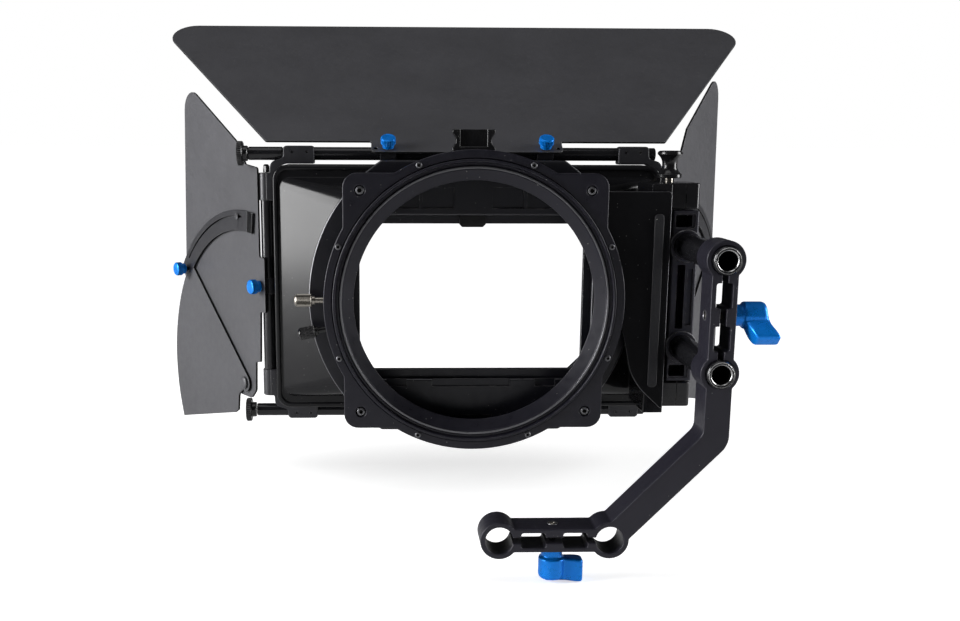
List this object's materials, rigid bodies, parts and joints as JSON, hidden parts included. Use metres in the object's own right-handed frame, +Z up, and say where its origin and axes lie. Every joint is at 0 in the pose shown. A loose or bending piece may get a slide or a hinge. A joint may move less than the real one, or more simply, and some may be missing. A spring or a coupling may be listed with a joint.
{
  "type": "swing-away matte box",
  "caption": "Swing-away matte box with folding flags, a rotating filter stage and a moulded hood, carried on a bent arm that clamps to 15 mm support rods.",
  "frame": {"origin": "rear face of the rod clamp's upper jaw, midway between the two support rod bores and 4.3 mm above the plane of their axes", "axes": "+X to the right as the camera operator sees it, +Y forward along the support rods and the optical axis, +Z up"},
  "size_m": [0.4027, 0.2655, 0.3189],
  "materials": {
    "arm_anodised": "satin black anodised",
    "ring_anodised": "satin black anodised with fine specks",
    "stage_black": "matte black anodised",
    "hood_gloss": "glossy moulded black",
    "tube_black": "polished black anodised",
    "bracket_black": "satin black anodised",
    "flag_matte": "fine matte black coating",
    "blue_anodised": "satin azure anodised",
    "nickel": "nickel plated",
    "knob_black": "glossy black anodised"
  },
  "bodies": {
    "arm": {"bent_arm": "arm_anodised"},
    "upper_lever": {"upper_clamp_lever": "blue_anodised", "upper_clamp_screw": "nickel"},
    "lower_lever": {"lower_clamp_lever": "blue_anodised", "lower_clamp_screw": "nickel"},
    "carriage": {"upper_rod": "tube_black", "lower_rod": "tube_black", "hinge_block": "arm_anodised"},
    "box": {"hinge_bracket": "arm_anodised", "hinge_plate": "arm_anodised", "lower_hinge_pin": "nickel", "ring_plate": "ring_anodised", "lens_ring": "ring_anodised", "ring_plate_screw_1": "knob_black", "ring_plate_screw_2": "knob_black", "ring_plate_screw_3": "knob_black", "ring_plate_screw_4": "knob_black", "stage_base": "stage_black", "hood": "hood_gloss", "top_tube": "tube_black", "top_tube_sleeve": "tube_black", "bottom_tube": "tube_black", "top_tube_knob": "knob_black", "bottom_tube_knob": "knob_black", "left_tube": "tube_black", "right_tube": "tube_black", "left_tube_nut": "nickel", "right_tube_nut": "nickel", "top_left_bracket": "bracket_black", "top_right_bracket": "bracket_black", "bottom_left_bracket": "bracket_black", "bottom_right_bracket": "bracket_black"},
    "pull_pin": {"pull_pin": "nickel", "pull_knob": "knob_black"},
    "lock_screw": {"stage_lock_screw": "nickel"},
    "drag_screw": {"stage_drag_screw": "knob_black"},
    "stage": {"rotating_stage": "stage_black"},
    "tray": {"filter_tray": "stage_black", "tray_pull": "knob_black"},
    "french_flag": {"french_flag": "flag_matte", "french_collar_left": "bracket_black", "french_collar_right": "bracket_black"},
    "french_knob_left": {"french_knob_left": "blue_anodised"},
    "french_knob_right": {"french_knob_right": "blue_anodised"},
    "left_flag": {"left_flag": "flag_matte", "left_flag_collar": "bracket_black", "left_wing_rivet": "nickel", "left_guide_pin": "nickel"},
    "left_flag_knob": {"left_flag_knob": "blue_anodised"},
    "left_wing": {"left_wing": "flag_matte"},
    "left_wing_knob": {"left_wing_knob": "blue_anodised"},
    "right_flag": {"right_flag": "flag_matte", "right_flag_collar": "bracket_black", "right_wing_rivet": "nickel", "right_guide_pin": "nickel"},
    "right_flag_knob": {"right_flag_knob": "blue_anodised"},
    "right_wing": {"right_wing": "flag_matte"},
    "right_wing_knob": {"right_wing_knob": "blue_anodised"}
  },
  "joints": [
    {"name": "rod_slide", "type": "slide", "parent": "arm", "child": "carriage", "axis": [0, 1, 0], "range_m": [-0.045, 0.005]},
    {"name": "box_swing", "type": "hinge", "parent": "carriage", "child": "box", "pos_m": [0.0778, 0.0979, 0.1177], "axis": [0, 0, -1], "range_deg": [0, 90]},
    {"name": "pull_pin_lift", "type": "slide", "parent": "box", "child": "pull_pin", "axis": [0, 0, 1], "range_m": [0, 0.009]},
    {"name": "stage_turn", "type": "hinge", "parent": "box", "child": "stage", "pos_m": [-0.0409, 0.0799, 0.1177], "axis": [0, -1, 0], "range_deg": [-90, 90]},
    {"name": "tray_lift", "type": "slide", "parent": "stage", "child": "tray", "axis": [0, 0, 1], "range_m": [0, 0.1]},
    {"name": "lock_screw_turn", "type": "hinge", "parent": "box", "child": "lock_screw", "pos_m": [-0.1309, 0.0654, 0.1177], "axis": [-1, 0, 0], "continuous": true},
    {"name": "drag_screw_turn", "type": "hinge", "parent": "box", "child": "drag_screw", "pos_m": [-0.12934, 0.0654, 0.10099], "axis": [-0.9826, 0, -0.1857], "continuous": true},
    {"name": "upper_lever_turn", "type": "hinge", "parent": "arm", "child": "upper_lever", "pos_m": [0.0923, 0.00965, 0.1177], "axis": [1, 0, 0], "range_deg": [-60, 60]},
    {"name": "lower_lever_turn", "type": "hinge", "parent": "arm", "child": "lower_lever", "pos_m": [0, 0.00965, -0.0115], "axis": [0, 0, -1], "range_deg": [-60, 60]},
    {"name": "french_flag_tilt", "type": "hinge", "parent": "box", "child": "french_flag", "pos_m": [-0.0409, 0.1309, 0.1997], "axis": [1, 0, 0], "range_deg": [0, 40]},
    {"name": "french_knob_left_turn", "type": "hinge", "parent": "french_flag", "child": "french_knob_left", "pos_m": [-0.0894, 0.12836, 0.19811], "axis": [0, -0.5299, 0.848], "continuous": true},
    {"name": "french_knob_right_turn", "type": "hinge", "parent": "french_flag", "child": "french_knob_right", "pos_m": [0.0076, 0.12836, 0.19811], "axis": [0, -0.5299, 0.848], "continuous": true},
    {"name": "left_flag_swing", "type": "hinge", "parent": "box", "child": "left_flag", "pos_m": [-0.1649, 0.1309, 0.1177], "axis": [0, 0, -1], "range_deg": [-10, 35]},
    {"name": "left_flag_knob_turn", "type": "hinge", "parent": "left_flag", "child": "left_flag_knob", "pos_m": [-0.1649, 0.1309, 0.1177], "axis": [-0.8191, -0.5736, 0], "continuous": true},
    {"name": "left_wing_raise", "type": "hinge", "parent": "left_flag", "child": "left_wing", "pos_m": [-0.17666, 0.14769, 0.0522], "axis": [0.8191, 0.5736, 0], "range_deg": [0, 38]},
    {"name": "left_wing_knob_turn", "type": "hinge", "parent": "left_wing", "child": "left_wing_knob", "pos_m": [-0.22283, 0.21363, 0.1197], "axis": [-0.8191, -0.5736, 0], "continuous": true},
    {"name": "right_flag_swing", "type": "hinge", "parent": "box", "child": "right_flag", "pos_m": [0.0831, 0.1309, 0.1267], "axis": [0, 0, 1], "range_deg": [-36, 29]},
    {"name": "right_flag_knob_turn", "type": "hinge", "parent": "right_flag", "child": "right_flag_knob", "pos_m": [0.0831, 0.1309, 0.1267], "axis": [0.8616, -0.5075, 0], "continuous": true},
    {"name": "right_wing_raise", "type": "hinge", "parent": "right_flag", "child": "right_wing", "pos_m": [0.0935, 0.14856, 0.0612], "axis": [0.8616, -0.5075, 0], "range_deg": [0, 8]},
    {"name": "right_wing_knob_turn", "type": "hinge", "parent": "right_wing", "child": "right_wing_knob", "pos_m": [0.13436, 0.21792, 0.1287], "axis": [0.8616, -0.5075, 0], "continuous": true}
  ]
}
